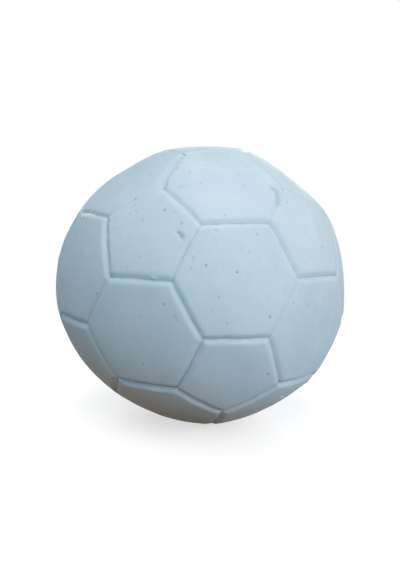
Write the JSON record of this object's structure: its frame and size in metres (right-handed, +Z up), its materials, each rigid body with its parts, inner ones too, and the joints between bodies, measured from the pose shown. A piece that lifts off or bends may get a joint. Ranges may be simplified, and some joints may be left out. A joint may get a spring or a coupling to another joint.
{
  "type": "mini soccer ball",
  "caption": "Small matte soccer ball: a bonded cover of pentagon and hexagon panels over a cloth carcass, an air bladder and a needle valve.",
  "frame": {"origin": "middle of the ball, which is the middle of its bounding box", "axes": "+Z up through the middle of the top pentagon, the ball's slightly shorter way; the pictured side faces -Y and the valve faces back and to the left"},
  "size_m": [0.1413, 0.1424, 0.1355],
  "materials": {
    "cover_foam": "matte pale blue foamed skin with fine pinholes",
    "carcass_cloth": "plain off-white woven lining",
    "bladder_rubber": "smooth dark rubber",
    "patch_rubber": "dark grey rubber",
    "valve_rubber": "moulded rubber, a shade darker than the cover",
    "plug_rubber": "dark moulded rubber"
  },
  "bodies": {
    "root": {"bladder": "bladder_rubber", "bottom_hexagon_1": "cover_foam", "bottom_hexagon_2": "cover_foam", "bottom_hexagon_3": "cover_foam", "bottom_hexagon_4": "cover_foam", "bottom_hexagon_5": "cover_foam", "bottom_pentagon": "cover_foam", "carcass": "carcass_cloth", "lower_hexagon_1": "cover_foam", "lower_hexagon_2": "cover_foam", "lower_hexagon_3": "cover_foam", "lower_hexagon_4": "cover_foam", "lower_hexagon_5": "cover_foam", "lower_pentagon_1": "cover_foam", "lower_pentagon_2": "cover_foam", "lower_pentagon_3": "cover_foam", "lower_pentagon_4": "cover_foam", "lower_pentagon_5": "cover_foam", "top_hexagon_1": "cover_foam", "top_hexagon_2": "cover_foam", "top_hexagon_3": "cover_foam", "top_hexagon_4": "cover_foam", "top_hexagon_5": "cover_foam", "top_pentagon": "cover_foam", "upper_hexagon_1": "cover_foam", "upper_hexagon_3": "cover_foam", "upper_hexagon_4": "cover_foam", "upper_hexagon_5": "cover_foam", "upper_pentagon_1": "cover_foam", "upper_pentagon_2": "cover_foam", "upper_pentagon_3": "cover_foam", "upper_pentagon_4": "cover_foam", "upper_pentagon_5": "cover_foam", "valve_hexagon": "cover_foam", "valve_housing": "valve_rubber", "valve_patch": "patch_rubber", "valve_plug": "plug_rubber"}
  },
  "joints": []
}
